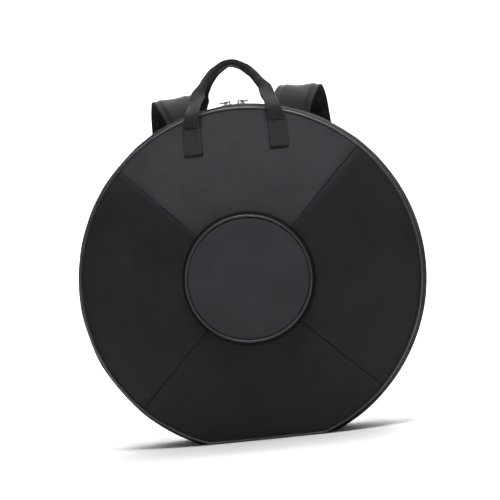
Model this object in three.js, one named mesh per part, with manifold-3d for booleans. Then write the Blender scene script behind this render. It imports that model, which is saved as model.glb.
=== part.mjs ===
// A soft carrying bag for a handpan: a round clamshell with a zip all round its rim, a raised round cap on
// the lid, a carrying handle on each half and two padded shoulder straps on the back.
//
// Millimetres, +Z up. The bag stands on the flat at the bottom of its rim. The origin is the middle of that
// flat, in the plane of the zip. The lid faces -Y, and the wearer's back is at +Y.
import * as THREE from "three";
import { mergeVertices } from "three/addons/utils/BufferGeometryUtils.js";
import Module from "manifold-3d";

const wasm = await Module();
wasm.setup();

// ---- Driving dimensions ----
const GAP = 0.3; // between pieces that touch
const RIM_R = 284.5; // outer radius of the cloth at both rim seams
const RIM_BULGE = 12; // how much further out the gusset stands at the zip
const RIM_Y = 69; // half the gusset's width
const CENTRE_Z = 272; // height of the bag's axis above the flat
const WALL = 8; // outer cloth with its foam
const LINING = 1;
const WEBBING_WIDTH = 32;
const WEBBING_THICK = 2;
const PIPING_R = 2.2;
const FOLD_Y = -6; // the line where the lid folds

const FRONT_RISE = 53; // how far the lid's cone rises from its rim to the cap
const FRONT_BULGE = 6;
const CAP_BASE_R = 108;
const CAP_R = 102;
const CAP_HEIGHT = 24;
const CAP_CROWN = 4;

const BACK_RISE = 37;
const BACK_BULGE = 5;
const BACK_PANEL_R = 161;
const BACK_SEAM_R = 167;
const BACK_PANEL_THICK = 12;

const ZIP_END = THREE.MathUtils.degToRad(154); // the zip runs this far each way from the top
const TAPE_EDGE_Y = 12;
const TEETH_EDGE_Y = 4;
const TEETH_GAP = 0.8; // half the gap between the two rows
const TAPE_THICK = 1.4;
const SLIDER_OFFSET = 11; // each slider's middle, from the top of the bag
const SLIDER_LENGTH = 16;
const SLIDER_WIDTH = 11;
const PULL_LENGTH = 13.5;
const PULL_REST = THREE.MathUtils.degToRad(14); // above the slider's plate

const HANDLE_X = 72; // the middle of each sewn handle end
const HANDLE_TAB_LOW = 213; // above the bag's axis
const HANDLE_TAB_HIGH = 254;
const LEG_WIDTH = 24; // where the webbing narrows on its way to the grip
const GRIP_WIDTH = 15; // the webbing folded in two
const GRIP_THICK = 5;

const STRAP_WIDTH = 72;
const STRAP_THICK = 9;
const STRAP_WEBBING = 25;

const RING_STEPS = 60;
const SMALL_RING_STEPS = 48;
const PIPING_SIDES = 6;

// ---- Solids and meshes ----
function solidOf(geometry) {
  const bare = geometry.clone();
  bare.deleteAttribute("normal");
  bare.deleteAttribute("uv");
  const merged = mergeVertices(bare, 1e-3);
  return new wasm.Manifold(
    new wasm.Mesh({
      numProp: 3,
      vertProperties: merged.attributes.position.array,
      triVerts: new Uint32Array(merged.index.array),
    }),
  );
}

function geometryOf(solid) {
  const mesh = solid.getMesh();
  return new THREE.BufferGeometry()
    .setAttribute("position", new THREE.BufferAttribute(mesh.vertProperties, 3))
    .setIndex(new THREE.BufferAttribute(mesh.triVerts, 1));
}

const block = (x0, x1, y0, y1, z0, z1) =>
  new THREE.BoxGeometry(x1 - x0, y1 - y0, z1 - z0).translate(
    (x0 + x1) / 2,
    (y0 + y1) / 2,
    (z0 + z1) / 2,
  );

const bag = new THREE.Group();

const cloth = { color: 0x1b1b1e, roughness: 0.62, metalness: 0 };
const finishes = {
  cloth,
  piping: { color: 0x232326, roughness: 0.4, metalness: 0 },
  webbing: { color: 0x161617, roughness: 0.75, metalness: 0 },
  mesh: { color: 0x101011, roughness: 0.9, metalness: 0 },
  lining: { color: 0x2b2c30, roughness: 0.7, metalness: 0 },
  tape: { color: 0x131314, roughness: 0.8, metalness: 0 },
  teeth: { color: 0x19191b, roughness: 0.45, metalness: 0 },
  metal: { color: 0xd6d7da, roughness: 0.22, metalness: 1 },
  plastic: { color: 0x121213, roughness: 0.42, metalness: 0 },
};

function add(name, finish, shape, parent = bag) {
  const geometry = shape.isBufferGeometry ? shape : geometryOf(shape);
  const mesh = new THREE.Mesh(
    geometry,
    new THREE.MeshStandardMaterial(finishes[finish]),
  );
  mesh.name = name;
  parent.add(mesh);
  return mesh;
}

// ---- The bag's own shape ----
// Outer surface of the gusset at a distance y from the zip's plane.
const gussetR = (y) => RIM_R + RIM_BULGE * (1 - (y / RIM_Y) ** 2);

// Outer surface of the lid's cone and of the back's cone, at a radius.
function frontY(r) {
  const s = (RIM_R - r) / (RIM_R - CAP_BASE_R);
  return -(RIM_Y + FRONT_RISE * s + FRONT_BULGE * Math.sin(Math.PI * s));
}

function backY(r) {
  const s = (RIM_R - r) / (RIM_R - BACK_SEAM_R);
  return RIM_Y + BACK_RISE * s + BACK_BULGE * Math.sin(Math.PI * s);
}

const pressedR = (y) => gussetR(Math.min(Math.abs(y), RIM_Y));

// The bag's weight presses the bottom of its rim flat. A point that is deep under the outer surface is
// lifted less, and at the radius inner it isn't lifted at all.
function pressFlat(geometry, outer, inner) {
  const p = geometry.attributes.position;
  for (let i = 0; i < p.count; i++) {
    const r = Math.hypot(p.getX(i), p.getZ(i));
    const outerR = outer(p.getY(i));
    const floor = ((outerR - r) * (CENTRE_Z - inner)) / (outerR - inner);
    p.setZ(i, Math.max(p.getZ(i) + CENTRE_Z, floor));
  }
  return geometry;
}

// A ring about the bag's axis. Its profile is a closed list of [radius, y].
function ring(profile, outer, inner = CAP_BASE_R, steps = RING_STEPS) {
  const points = [...profile, profile[0]].map(([r, y]) => new THREE.Vector2(r, y));
  if (THREE.ShapeUtils.area(points) < 0) points.reverse();
  const turned = new THREE.LatheGeometry(points, steps, -Math.PI / steps);
  return solidOf(pressFlat(turned, outer, inner));
}

// A disc about the bag's axis. Its profile starts and ends on the axis.
function disc(profile, steps = SMALL_RING_STEPS) {
  const points = profile.map(([r, y]) => new THREE.Vector2(r, y));
  if (THREE.ShapeUtils.area(points) < 0) points.reverse();
  return new THREE.LatheGeometry(points, steps, -Math.PI / steps).translate(0, 0, CENTRE_Z);
}

// All that lies between two angles about the bag's axis, measured from the top towards +X.
function sector(from, to) {
  const far = 500;
  const shape = new THREE.Shape([new THREE.Vector2(0, 0)]);
  const steps = Math.ceil((to - from) / (Math.PI / 6));
  for (let i = 0; i <= steps; i++) {
    const a = from + ((to - from) * i) / steps;
    shape.lineTo(far * Math.sin(a), far * Math.cos(a));
  }
  const prism = new THREE.ExtrudeGeometry(shape, { depth: 2 * far, bevelEnabled: false });
  return solidOf(prism.rotateX(Math.PI / 2).translate(0, far, CENTRE_Z));
}

const span = (from, to, steps) =>
  Array.from({ length: steps + 1 }, (_, i) => from + ((to - from) * i) / steps);

// The profile of a wall between an outer line and the same line moved inwards.
const wallOf = (line, inwards) => [...line, ...line.map(inwards).reverse()];

// ---- Cones: four gores on each half ----
const HALF_TURN = Math.PI;
const goreNames = ["top", "right", "bottom", "left"];

function gores(half, ringSolid, seamRadius) {
  goreNames.forEach((side, k) => {
    const middle = (k * HALF_TURN) / 2;
    const cut = GAP / 2 / seamRadius;
    const part = sector(middle - HALF_TURN / 4 + cut, middle + HALF_TURN / 4 - cut);
    add(`${half}_gore_${side}`, "cloth", ringSolid.intersect(part));
  });
}

const frontLine = span(RIM_R, CAP_BASE_R, 3).map((r) => [r, frontY(r) - GAP]);
gores(
  "front",
  ring(
    wallOf(frontLine, ([r, y], i) => (i ? [r, y + WALL] : [r - WALL, y + WALL * 0.72])),
    pressedR,
  ),
  CAP_BASE_R,
);
const backLine = span(RIM_R, BACK_SEAM_R, 3).map((r) => [r, backY(r) + GAP]);
gores(
  "back",
  ring(
    wallOf(backLine, ([r, y], i) => (i ? [r, y - WALL] : [r - WALL, y - WALL * 0.72])),
    pressedR,
    BACK_SEAM_R,
  ),
  BACK_SEAM_R,
);

// ---- Gussets, hinge panels and zip ----
function gusset(name, side) {
  const line = span(RIM_Y, TAPE_EDGE_Y + GAP, 3).map((y) => [gussetR(y), side * y]);
  const profile = wallOf(line, ([r, y], i) => [r - WALL, i ? y : y - side * WALL * 0.8]);
  add(name, "cloth", ring(profile, pressedR));
}
gusset("lid_gusset", -1);
gusset("base_gusset", 1);

const zipSector = sector(-ZIP_END, ZIP_END);
const endCut = GAP / RIM_R;
const hingeSector = sector(ZIP_END + endCut, 2 * HALF_TURN - ZIP_END - endCut);

function rimBand(name, finish, y0, y1, rOuter, thick, part) {
  const profile = [
    [rOuter(y0), y0],
    [rOuter(y1), y1],
    [rOuter(y1) - thick, y1],
    [rOuter(y0) - thick, y0],
  ];
  add(name, finish, ring(profile, pressedR).intersect(part));
}
rimBand("lid_hinge_panel", "cloth", -TAPE_EDGE_Y, FOLD_Y - GAP, gussetR, WALL, hingeSector);
rimBand("base_hinge_panel", "cloth", FOLD_Y + GAP, TAPE_EDGE_Y, gussetR, WALL, hingeSector);

const tapeR = (y) => gussetR(y) - 0.6;
const teethR = () => RIM_R + RIM_BULGE + 1;
const TEETH_THICK = 3.4;
for (const [half, side] of [
  ["lid", -1],
  ["base", 1],
]) {
  const ys = (a, b) => [side * a, side * b].sort((p, q) => p - q);
  const [t0, t1] = ys(TAPE_EDGE_Y, TEETH_EDGE_Y + GAP);
  const [c0, c1] = ys(TEETH_EDGE_Y, TEETH_GAP);
  rimBand(`${half}_zip_tape`, "tape", t0, t1, tapeR, TAPE_THICK, zipSector);
  rimBand(`${half}_zip_teeth`, "teeth", c0, c1, teethR, TEETH_THICK, zipSector);
}

// Two cloth tabs close the ends of the zip. They are sewn to the base.
for (const [side, sign] of [
  ["left", -1],
  ["right", 1],
]) {
  const low = ZIP_END - 0.035;
  const high = ZIP_END + 0.02;
  const part = sign > 0 ? sector(low, high) : sector(-high, -low);
  const r = RIM_R + RIM_BULGE + 1.4;
  rimBand(`zip_end_tab_${side}`, "webbing", -TEETH_GAP + GAP, 14, () => r + 1.2, 1.2, part);
}

// ---- Piping ----
const RIM_PIPING_R = RIM_R + 1.6;
function piping(name, r, y, steps, inner = CAP_BASE_R) {
  const profile = span(0, 2 * HALF_TURN, PIPING_SIDES)
    .slice(0, PIPING_SIDES)
    .map((a) => [r + PIPING_R * Math.cos(a), y + PIPING_R * Math.sin(a)]);
  add(name, "piping", ring(profile, () => RIM_PIPING_R + PIPING_R, inner, steps));
}
const RIM_PIPING_Y = RIM_Y + PIPING_R + 2;
piping("lid_rim_piping", RIM_PIPING_R, -RIM_PIPING_Y, RING_STEPS);
piping("base_rim_piping", RIM_PIPING_R, RIM_PIPING_Y, RING_STEPS);

// ---- The raised cap on the lid ----
const CAP_BASE_Y = frontY(CAP_BASE_R);
const CAP_TOP_Y = CAP_BASE_Y - CAP_HEIGHT;
const CAP_WALL = 3;
add(
  "cap_wall",
  "cloth",
  ring(
    [
      [CAP_BASE_R - GAP, CAP_BASE_Y + WALL * 0.5],
      [CAP_BASE_R - GAP, CAP_BASE_Y - GAP],
      [CAP_R, CAP_TOP_Y + PIPING_R],
      [CAP_R - CAP_WALL, CAP_TOP_Y + PIPING_R],
      [CAP_BASE_R - GAP - CAP_WALL, CAP_BASE_Y + WALL * 0.5],
    ],
    pressedR,
    CAP_BASE_R,
    SMALL_RING_STEPS,
  ),
);
const CAP_TOP_EDGE = CAP_R - 1.6;
add(
  "cap_top",
  "cloth",
  disc([
    [0, CAP_TOP_Y - CAP_CROWN],
    [CAP_R * 0.6, CAP_TOP_Y - CAP_CROWN * 0.8],
    [CAP_TOP_EDGE, CAP_TOP_Y - PIPING_R * 0.4],
    [CAP_TOP_EDGE - CAP_WALL - GAP, CAP_TOP_Y + WALL - CAP_CROWN],
    [0, CAP_TOP_Y + WALL - CAP_CROWN],
  ]),
);
piping("cap_piping", CAP_R + 1.3, CAP_TOP_Y - 0.2, SMALL_RING_STEPS);

// ---- The padded panel on the back ----
const BACK_Y = backY(BACK_SEAM_R) + 5;
add(
  "back_panel",
  "mesh",
  disc([
    [0, BACK_Y - BACK_PANEL_THICK],
    [BACK_PANEL_R, BACK_Y - BACK_PANEL_THICK],
    [BACK_PANEL_R, BACK_Y - 3],
    [BACK_PANEL_R - 8, BACK_Y],
    [0, BACK_Y],
  ]),
);
const BACK_PIPING_R = BACK_PANEL_R + PIPING_R + GAP;
const BACK_PIPING_Y = backY(BACK_SEAM_R) + 1.5;
piping("back_panel_piping", BACK_PIPING_R, BACK_PIPING_Y, SMALL_RING_STEPS, BACK_SEAM_R);

// ---- Linings ----
const inside = GAP + LINING;
function lining(name, line, side) {
  const moved = line.map(([r, y]) => [Math.max(0, r - (r ? LINING : 0)), y - side * LINING]);
  const points = [...line.reverse(), ...moved].map(([r, y]) => new THREE.Vector2(r, y));
  if (THREE.ShapeUtils.area(points) < 0) points.reverse();
  const bowl = new THREE.LatheGeometry(points, 36, -HALF_TURN / 36);
  add(name, "lining", solidOf(pressFlat(bowl, pressedR, CAP_BASE_R)));
}
const liningR = RIM_R - WALL - inside;
lining(
  "lid_lining",
  [
    [liningR, -(TAPE_EDGE_Y + 1)],
    [liningR - 3, -(RIM_Y - WALL)],
    [200, frontY(200) + WALL + 2 * LINING],
    [CAP_BASE_R - 5, CAP_BASE_Y + WALL + 2 * LINING],
    [CAP_R - 7, CAP_TOP_Y + WALL],
    [0, CAP_TOP_Y + WALL],
  ],
  -1,
);
lining(
  "base_lining",
  [
    [liningR, TAPE_EDGE_Y + 1],
    [liningR - 3, RIM_Y - WALL],
    [BACK_PANEL_R + 8, backY(BACK_PANEL_R + 8) - WALL - 3 * LINING],
    [BACK_PANEL_R - 8, BACK_Y - BACK_PANEL_THICK - inside],
    [0, BACK_Y - BACK_PANEL_THICK - inside],
  ],
  1,
);

// ---- Strips of webbing and straps ----
// A box bent so that its length follows the path. across gives the direction of its width at each point of
// the path, and width and thick may change along it.
function strip(path, across, { width, thick, steps }) {
  const curve = new THREE.CatmullRomCurve3(
    path.map((p) => new THREE.Vector3(...p)),
    false,
    "centripetal",
  );
  const widthAt = typeof width === "function" ? width : () => width;
  const thickAt = typeof thick === "function" ? thick : () => thick;
  const geometry = new THREE.BoxGeometry(1, 1, 1, 1, 1, steps);
  const p = geometry.attributes.position;
  for (let i = 0; i < p.count; i++) {
    const t = Math.min(1, Math.max(0, p.getZ(i) + 0.5));
    const at = t * (across.length - 1);
    const k = Math.min(Math.floor(at), across.length - 2);
    const along = curve.getTangent(t);
    const wide = new THREE.Vector3(...across[k])
      .lerp(new THREE.Vector3(...across[k + 1]), at - k)
      .projectOnPlane(along)
      .normalize();
    const up = along.clone().cross(wide);
    const q = curve
      .getPoint(t)
      .addScaledVector(wide, p.getX(i) * widthAt(t))
      .addScaledVector(up, p.getY(i) * thickAt(t));
    p.setXYZ(i, q.x, q.y, q.z);
  }
  return geometry;
}

// A point on the lid's or the back's cone, lifted off it, at a height z above the bag's axis.
function onCone(side, x, z, lift) {
  const r = Math.hypot(x, z);
  return [x, side < 0 ? frontY(r) - lift : backY(r) + lift, z + CENTRE_Z];
}

// The direction across a strip that runs upwards on a cone at x, in the cone's surface.
function acrossCone(side, x, z) {
  const surface = side < 0 ? frontY : backY;
  const r = Math.hypot(x, z);
  const slope = (surface(r + 1) - surface(r - 1)) / 2;
  return [1, (slope * x) / r, 0];
}

// ---- Handles: one on each half ----
const TAB_LIFT = 0.8 + WEBBING_THICK;
const GRIP_START = 0.3; // share of the loop's length, from each end, that is open webbing

function handle(half, side) {
  const tabs = [
    ["left", -1],
    ["right", 1],
  ];
  for (const [name, sign] of tabs) {
    const x = sign * HANDLE_X;
    const path = span(HANDLE_TAB_LOW, HANDLE_TAB_HIGH, 3).map((z) => onCone(side, x, z, TAB_LIFT));
    const across = path.map(([, , z]) => acrossCone(side, x, z - CENTRE_Z));
    const shape = { width: WEBBING_WIDTH, thick: 2 * WEBBING_THICK, steps: 3 };
    add(`${half}_handle_tab_${name}`, "webbing", strip(path, across, shape));
  }
  // From the left tab up over the rim, leaning towards the zip, along the grip and down again.
  const leg = [
    onCone(side, HANDLE_X, HANDLE_TAB_HIGH + 6, 2 * TAB_LIFT),
    [HANDLE_X - 4, side * 86, CENTRE_Z + 281],
    [61, side * 60, CENTRE_Z + 307],
    [50, side * 38, CENTRE_Z + 330],
    [29, side * 22, CENTRE_Z + 357],
  ];
  const top = [0, side * 15, CENTRE_Z + 371];
  const mirrored = leg.map(([x, y, z]) => [-x, y, z]);
  const path = [...mirrored, top, ...leg.reverse()];
  const legAcross = [
    [1, 0, 0],
    [1, 0, 0.12],
    [1, -side * 0.1, 0.3],
    [0.8, -side * 0.2, -0.7],
    [0.45, -side * 0.5, -0.75],
  ];
  const across = [
    ...legAcross,
    [0, -side * 0.75, -0.66],
    ...legAcross.map(([x, y, z]) => [-x, y, z]).reverse(),
  ];
  const share = (t, from, to) => THREE.MathUtils.smoothstep(Math.min(t, 1 - t), from, to);
  const grip = (t) => share(t, GRIP_START - 0.06, GRIP_START);
  const openWidth = (t) => THREE.MathUtils.lerp(WEBBING_WIDTH, LEG_WIDTH, share(t, 0.01, 0.1));
  add(
    `${half}_handle_loop`,
    "webbing",
    strip(path, across, {
      width: (t) => THREE.MathUtils.lerp(openWidth(t), GRIP_WIDTH, grip(t)),
      thick: (t) => THREE.MathUtils.lerp(WEBBING_THICK, GRIP_THICK, grip(t)),
      steps: 40,
    }),
  );
}
handle("front", -1);
handle("rear", 1);

// ---- Zip sliders and pulls ----
// Each is built at the top of the rim and turned about the bag's axis to its place.
const PLATE_LOW = RIM_R + RIM_BULGE + 1.8;
const PLATE_THICK = 2.4;
const BRIDGE_HEIGHT = 5.8;
const BRIDGE_WALL = 2.4;
const BRIDGE_HALF = 5.6;
const BRIDGE_WIDTH = 3.4;
const PIVOT_R = PLATE_LOW + PLATE_THICK + 1.7;

function sliderShape() {
  const half = SLIDER_LENGTH / 2;
  const wide = SLIDER_WIDTH / 2;
  const low = RIM_R + RIM_BULGE + 1 - TEETH_THICK - 0.8;
  const top = PLATE_LOW + PLATE_THICK;
  const plate = solidOf(block(-half, half, -wide, wide, PLATE_LOW, top));
  const under = solidOf(block(-half, half, -wide, wide, low - PLATE_THICK, low));
  const post = solidOf(block(half - 4, half - 1, -0.45, 0.45, low - 0.5, PLATE_LOW + 0.5));
  const crest = top + BRIDGE_HEIGHT;
  const eyeHalf = BRIDGE_HALF - BRIDGE_WALL;
  const bridge = solidOf(
    block(-BRIDGE_HALF, BRIDGE_HALF, -BRIDGE_WIDTH / 2, BRIDGE_WIDTH / 2, top - 0.5, crest),
  );
  const eye = solidOf(block(-eyeHalf, eyeHalf, -BRIDGE_WIDTH, BRIDGE_WIDTH, top, crest - BRIDGE_WALL));
  return plate.add(under).add(post).add(bridge.subtract(eye));
}

function pullShape() {
  const bar = solidOf(block(-1, 1, -3.4, 3.4, -1, 1));
  const armNear = solidOf(block(-1, 7.5, 2, 3.4, -1, 1));
  const armFar = solidOf(block(-1, 7.5, -3.4, -2, -1, 1));
  const tab = solidOf(block(7.2, PULL_LENGTH, -4, 4, -1.2, 1.2));
  const eye = new THREE.CylinderGeometry(1.5, 1.5, 4, 12).rotateX(Math.PI / 2).translate(10.5, 0, 0);
  return bar.add(armNear).add(armFar).add(tab).subtract(solidOf(eye));
}

for (const [name, sign] of [
  ["left", -1],
  ["right", 1],
]) {
  const place = new THREE.Group();
  place.position.z = CENTRE_Z;
  place.rotation.y = sign * (SLIDER_OFFSET / RIM_R);
  bag.add(place);
  const slider = add(`zip_slider_${name}`, "metal", sliderShape(), place);
  slider.rotation.z = sign > 0 ? Math.PI : 0; // the two heads face each other
  const pull = add(`zip_pull_${name}`, "metal", pullShape(), place);
  pull.position.z = PIVOT_R;
  pull.rotation.y = sign > 0 ? -PULL_REST : PULL_REST - Math.PI; // the pulls point apart
}

// ---- Shoulder straps ----
// A yoke of webbing across the back holds the tops of both straps.
const YOKE_Z = 190;
const YOKE_HALF = 128;
const yokePath = span(-YOKE_HALF, YOKE_HALF, 8).map((x) => onCone(1, x, YOKE_Z, 1.2 + WEBBING_THICK));
const yokeAcross = yokePath.map(([x]) => {
  const r = Math.hypot(x, YOKE_Z);
  return [0, ((backY(r + 1) - backY(r - 1)) / 2) * (YOKE_Z / r), 1];
});
add(
  "strap_yoke",
  "webbing",
  strip(yokePath, yokeAcross, { width: 38, thick: 2 * WEBBING_THICK, steps: 16 }),
);

const LOWER_TAB_ANGLE = THREE.MathUtils.degToRad(130); // from the top, where the strap is sewn to the rim
const STRAP_TOP_X = 86;

function shoulderStrap(name, sign) {
  const s = ([x, y, z]) => [sign * x, y, z + CENTRE_Z];
  const root = onCone(1, STRAP_TOP_X, YOKE_Z + 31, 18);
  const path = [
    [sign * root[0], root[1], root[2]],
    s([STRAP_TOP_X + 2, 112, 264]),
    s([101, 124, 313]),
    s([117, 150, 333]),
    s([125, 178, 316]),
    s([130, 200, 263]),
    s([137, 219, 180]),
    s([147, 228, 90]),
    s([158, 222, 0]),
    s([168, 204, -70]),
  ];
  const twist = [-0.02, -0.02, -0.05, -0.06, -0.05, 0.02, 0.06, 0.1, 0.14, 0.18];
  const across = twist.map((rise, i) => [1, 0.1 * sign * (i / 9), sign * rise]);
  add(
    `strap_pad_${name}`,
    "cloth",
    strip(path, across, { width: STRAP_WIDTH, thick: STRAP_THICK, steps: 26 }),
  );

  // Webbing from the pad's end to the ladder lock, and on to the lower tab.
  const lockTop = [174, 193, -92];
  const shape = { width: STRAP_WEBBING, thick: WEBBING_THICK, steps: 3 };
  const sideways = [1, 0, sign * 0.2];
  const loop = [s([168.6, 202.6, -74.5]), s([171, 199, -82]), s([173, 195, -88.5])];
  add(`strap_lock_loop_${name}`, "webbing", strip(loop, [sideways, sideways, sideways], shape));

  const frame = solidOf(block(-17, 17, -2.5, 2.5, -26, 0));
  const slots = [
    [-8, -3.5],
    [-15, -11.5],
    [-22.5, -18.5],
  ];
  const cut = (solid, [low, high]) => solid.subtract(solidOf(block(-13.5, 13.5, -4, 4, low, high)));
  const lock = add(`ladder_lock_${name}`, "plastic", slots.reduce(cut, frame));
  lock.position.set(sign * lockTop[0], lockTop[1], lockTop[2] + CENTRE_Z);
  lock.rotation.set(-0.5, sign * -0.2, 0, "YXZ");

  const rim = (r, lift) => {
    const [x, z] = [r * Math.sin(LOWER_TAB_ANGLE), r * Math.cos(LOWER_TAB_ANGLE)];
    return s([x, backY(r) + lift, z]);
  };
  const lower = [s([181, 178.5, -118]), s([186, 150, -135]), s([191, 115, -152]), rim(252, 12)];
  const lowerAcross = lower.map((_, i) => [1, 0, sign * (0.2 + 0.2 * i)]);
  add(
    `strap_lower_webbing_${name}`,
    "webbing",
    strip(lower, lowerAcross, { ...shape, steps: 8 }),
  );
  const tail = [s([180, 186, -117]), s([181.5, 187, -150]), s([183, 184, -190]), s([184.5, 181, -232])];
  const tailAcross = tail.map(() => [1, 0.15 * sign, 0]);
  add(`strap_tail_${name}`, "webbing", strip(tail, tailAcross, { ...shape, steps: 6 }));

  // The lower tab is sewn into the rim seam.
  const tab = [rim(257, 5.5), rim(263, 2.4), rim(270, 2.2), rim(278, 2.2)];
  const tabAcross = tab.map(() => [Math.cos(LOWER_TAB_ANGLE), 0, -sign * Math.sin(LOWER_TAB_ANGLE)]);
  const tabShape = { width: 40, thick: 3, steps: 4 };
  add(`strap_lower_tab_${name}`, "webbing", strip(tab, tabAcross, tabShape));
}
shoulderStrap("left", -1);
shoulderStrap("right", 1);

export default bag;
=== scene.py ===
import math

import bpy
import numpy as np
from mathutils import Matrix, Vector, noise


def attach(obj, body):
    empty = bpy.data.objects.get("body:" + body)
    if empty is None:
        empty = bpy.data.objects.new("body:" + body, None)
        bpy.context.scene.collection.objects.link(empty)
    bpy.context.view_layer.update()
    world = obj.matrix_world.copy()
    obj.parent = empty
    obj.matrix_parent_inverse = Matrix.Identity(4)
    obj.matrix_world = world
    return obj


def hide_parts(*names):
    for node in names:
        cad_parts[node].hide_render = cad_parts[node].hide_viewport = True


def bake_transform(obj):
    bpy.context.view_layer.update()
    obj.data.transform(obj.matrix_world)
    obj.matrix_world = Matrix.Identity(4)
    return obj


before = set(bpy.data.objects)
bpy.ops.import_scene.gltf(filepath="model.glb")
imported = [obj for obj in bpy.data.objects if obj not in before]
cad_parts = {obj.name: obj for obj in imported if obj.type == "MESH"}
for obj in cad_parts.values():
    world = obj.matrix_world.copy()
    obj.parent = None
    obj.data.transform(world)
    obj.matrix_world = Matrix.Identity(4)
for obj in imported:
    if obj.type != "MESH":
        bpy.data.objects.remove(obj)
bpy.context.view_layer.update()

# ---- Sizes shared with the CAD, in metres ----
H = 0.272  # height of the bag's axis
RIM_R = 0.2845
BULGE = 0.012  # how much further out the gusset stands at the zip
RIM_Y = 0.069
FRONT_RISE = 0.053
FRONT_BULGE = 0.006
BACK_RISE = 0.037
BACK_BULGE = 0.005
CAP_BASE_R = 0.108
CAP_R = 0.102
CAP_BASE_Y = -0.122
CAP_TOP_Y = -0.146
BACK_SEAM_R = 0.167
BACK_PANEL_R = 0.161
TAPE_EDGE_Y = 0.012
TEETH_EDGE_Y = 0.004
ZIP_END = math.radians(154)
TURN = 2 * math.pi
WALL = 0.008
HANDLE_X = 0.072
HANDLE_LOW = 0.213
HANDLE_HIGH = 0.254
HANDLE_LIFT = 0.0028
HANDLE_WIDTH = 0.032
LEG_WIDTH = 0.024
GRIP_WIDTH = 0.015
STRAP_WIDTH = 0.072
STRAP_TOP_X = 0.086
YOKE_Z = 0.190
YOKE_HALF = 0.128
YOKE_WIDTH = 0.038
LOWER_ANGLE = math.radians(130)  # from the top, where a strap is sewn to the rim

CLOTH_THICK = 0.0025
TAPE_THICK = 0.0012
PIPING_R = 0.0021

scene = bpy.context.scene


def gusset_r(y):
    return RIM_R + BULGE * (1 - np.minimum(np.abs(y) / RIM_Y, 1) ** 2)


def front_y(r):
    s = (RIM_R - r) / (RIM_R - CAP_BASE_R)
    return -(RIM_Y + FRONT_RISE * s + FRONT_BULGE * np.sin(np.pi * s))


def back_y(r):
    s = (RIM_R - r) / (RIM_R - BACK_SEAM_R)
    return RIM_Y + BACK_RISE * s + BACK_BULGE * np.sin(np.pi * s)


def smooth(t, a, b):
    t = np.clip((t - a) / (b - a), 0, 1)
    return t * t * (3 - 2 * t)


def press(x, y, z, inner=CAP_BASE_R):
    """Lift what the flat at the bottom of the rim presses up."""
    r = np.hypot(x, z)
    outer = gusset_r(y)
    floor = (outer - r) * (H - inner) / (outer - inner)
    return np.stack([x, y, np.maximum(z + H, np.maximum(floor, 0))], -1)


def fbm(p, scale, seed, octaves=3):
    """Smooth noise of about unit size at each point of an array of points."""
    flat = p.reshape(-1, 3)
    out = np.empty(len(flat))
    for i, (x, y, z) in enumerate(flat):
        v = Vector((x * scale + seed, y * scale - seed, z * scale + 2 * seed))
        out[i] = noise.fractal(v, 1.0, 2.0, octaves)
    return out.reshape(p.shape[:-1])


# ---- Meshes ----
def normals_of(P):
    du = np.gradient(P, axis=0)
    dv = np.gradient(P, axis=1)
    n = np.cross(du, dv)
    return n / np.maximum(np.linalg.norm(n, axis=-1, keepdims=True), 1e-12)


def mesh_object(name, verts, faces, uvs, material):
    mesh = bpy.data.meshes.new(name)
    mesh.from_pydata([tuple(v) for v in verts], [], faces)
    if uvs is not None:
        layer = mesh.uv_layers.new(name="UVMap")
        index = np.empty(len(mesh.loops), dtype=np.int32)
        mesh.loops.foreach_get("vertex_index", index)
        layer.data.foreach_set("uv", np.asarray(uvs, dtype=np.float32)[index].ravel())
    mesh.polygons.foreach_set("use_smooth", [True] * len(mesh.polygons))
    mesh.materials.append(material)
    mesh.update()
    obj = bpy.data.objects.new(name, mesh)
    scene.collection.objects.link(obj)
    return obj


def lengths(P, axis):
    d = np.linalg.norm(np.diff(P, axis=axis), axis=-1)
    mean = d.mean(axis=1 - axis)
    return np.concatenate([[0], np.cumsum(mean)])


def skin(name, P, thick, material, flip=False, closed_u=False):
    """A cloth of a stated thickness whose outer face is the grid P, with UVs in metres."""
    n = normals_of(P)
    if flip:
        n = -n
    if closed_u:
        n[0] = n[-1] = n[0] + n[-1]
        n[0] /= np.linalg.norm(n[0], axis=-1, keepdims=True)
        n[-1] = n[0]
    nu, nv = P.shape[:2]
    inner = P - n * thick
    inner[..., 2] = np.maximum(inner[..., 2], 0.0)
    verts = np.concatenate([P.reshape(-1, 3), inner.reshape(-1, 3)])
    u = lengths(P, 0)
    v = lengths(P, 1)
    uv = np.stack(np.meshgrid(u, v, indexing="ij"), -1).reshape(-1, 2)
    uvs = np.concatenate([uv, uv])
    count = nu * nv
    faces = []
    wind = -1 if flip else 1

    def quad(a, b, c, d):
        faces.append((a, b, c, d)[::wind])

    for i in range(nu - 1):
        for j in range(nv - 1):
            a, b = i * nv + j, (i + 1) * nv + j
            quad(a, b, b + 1, a + 1)
            quad(count + a + 1, count + b + 1, count + b, count + a)
    for i in range(nu - 1):
        a, b = i * nv, (i + 1) * nv
        quad(a, count + a, count + b, b)
        a, b = a + nv - 1, b + nv - 1
        quad(b, count + b, count + a, a)
    if not closed_u:
        for j in range(nv - 1):
            a = j
            quad(a + 1, count + a + 1, count + a, a)
            a = (nu - 1) * nv + j
            quad(a, count + a, count + a + 1, a + 1)
    return mesh_object(name, verts, faces, uvs, material)


def flat_uvs(obj, x, z):
    """Lay a skin's UVs flat, so its weave runs straight across it."""
    index = np.empty(len(obj.data.loops), dtype=np.int32)
    obj.data.loops.foreach_get("vertex_index", index)
    flat = np.concatenate([np.stack([x, z], -1).reshape(-1, 2)] * 2)
    obj.data.uv_layers[0].data.foreach_set("uv", flat[index].astype(np.float32).ravel())


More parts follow.
